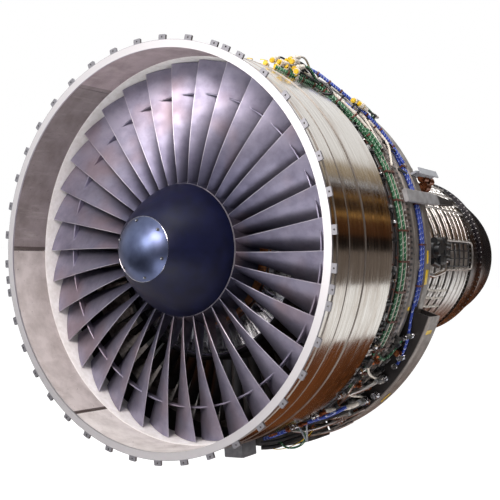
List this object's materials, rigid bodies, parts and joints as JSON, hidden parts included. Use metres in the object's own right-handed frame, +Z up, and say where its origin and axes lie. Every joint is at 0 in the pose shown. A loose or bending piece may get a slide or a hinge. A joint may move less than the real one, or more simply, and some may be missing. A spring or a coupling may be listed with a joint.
{
  "type": "jet engine",
  "caption": "High-bypass turbofan jet engine with polished fan case, shrouded fan blades, case harnesses, tube-ringed turbine and dark exhaust nozzle.",
  "frame": {"origin": "centre of the front flange's bolt circle, on its front face", "axes": "+Y along the engine axis with the air flow, +Z up, +X to the engine's right side as the picture shows it"},
  "size_m": [2.7235, 4.912, 2.7414],
  "materials": {
    "polished_case": "polished, fine brushing round the case",
    "liner_grey": "worn acoustic lining",
    "strip_white": "matt",
    "frame_grey": "satin grey paint",
    "titanium": "satin titanium",
    "spinner_dark": "satin charcoal",
    "steel": "machined",
    "vane_silver": "bright",
    "bronze": "heat-tinted bronze",
    "hot_alloy": "heat-stained alloy",
    "tube_steel": "drawn tube",
    "nozzle_dark": "dark gloss, heat-blued",
    "unit_black": "satin black",
    "housing_cast": "cast",
    "harness_green": "braided sleeve",
    "conduit_white": "satin sleeve",
    "harness_blue": "braided sleeve",
    "clamp_steel": "bright clamps and caps"
  },
  "bodies": {
    "engine": {"fan_case": "polished_case", "inlet_liner": "liner_grey", "aft_liner": "liner_grey", "rub_strip": "strip_white", "aft_fan_case": "frame_grey", "fan_frame": "frame_grey", "fan_frame_ring": "frame_grey", "splitter_fairing": "frame_grey", "side_arm": "frame_grey", "case_brackets": "frame_grey", "oil_tank": "frame_grey", "bearing_support": "frame_grey", "front_mount": "titanium", "rear_mount": "titanium", "hpc_front_case": "titanium", "main_bearings": "steel", "hpc_rear_case": "steel", "outlet_guide_vanes": "vane_silver", "booster_inlet_vanes": "vane_silver", "booster_case": "vane_silver", "diffuser_frame": "hot_alloy", "burner_case": "hot_alloy", "burner_liner": "hot_alloy", "fuel_manifold": "hot_alloy", "hpt_case": "hot_alloy", "lpt_case": "hot_alloy", "cooling_tubes": "tube_steel", "side_frame": "tube_steel", "elbow_pipe": "tube_steel", "service_channel": "tube_steel", "turbine_rear_frame": "nozzle_dark", "exhaust_nozzle": "nozzle_dark", "exhaust_plug": "nozzle_dark", "vane_actuator": "unit_black", "starter_and_fuel_pump": "unit_black", "bleed_valve": "unit_black", "top_bracket": "unit_black", "accessory_gearbox": "housing_cast", "generator": "housing_cast", "service_fittings": "housing_cast", "control_unit": "housing_cast", "green_harness": "harness_green", "white_conduits": "conduit_white", "blue_harness": "harness_blue", "harness_clamps": "clamp_steel", "top_connectors": "clamp_steel"},
    "fan_spool": {"nose_cap": "spinner_dark", "nose_cap_bolts": "steel", "spinner_cone": "spinner_dark", "fan_disk": "titanium", "fan_blades": "titanium", "spool_front_ring": "bronze", "booster_rotor": "steel", "fan_shaft": "steel", "lpt_rotor": "hot_alloy"},
    "core_spool": {"hpc_rotor": "steel", "hpt_rotor": "hot_alloy"},
    "radial_drive": {"radial_drive_shaft": "steel"},
    "unison": {"unison_rings": "tube_steel"},
    "rod": {"actuator_rod": "steel"}
  },
  "joints": [
    {"name": "fan_spin", "type": "hinge", "parent": "engine", "child": "fan_spool", "pos_m": [0, 0, 0], "axis": [0, 1, 0], "continuous": true},
    {"name": "core_spin", "type": "hinge", "parent": "engine", "child": "core_spool", "pos_m": [0, 0, 0], "axis": [0, 1, 0], "continuous": true},
    {"name": "drive_spin", "type": "hinge", "parent": "engine", "child": "radial_drive", "pos_m": [0, 1.263, 0], "axis": [0, 0, -1], "continuous": true},
    {"name": "unison_turn", "type": "hinge", "parent": "engine", "child": "unison", "pos_m": [0, 0, 0], "axis": [0, 1, 0], "range_deg": [0, 5]},
    {"name": "rod_slide", "type": "slide", "parent": "engine", "child": "rod", "axis": [0, 1, 0], "range_m": [0, 0.04]}
  ],
  "couplings": [
    {"joint": "drive_spin", "follows": "core_spin", "ratio": 3},
    {"joint": "rod_slide", "follows": "unison_turn", "m_per_rad": 0.45}
  ]
}
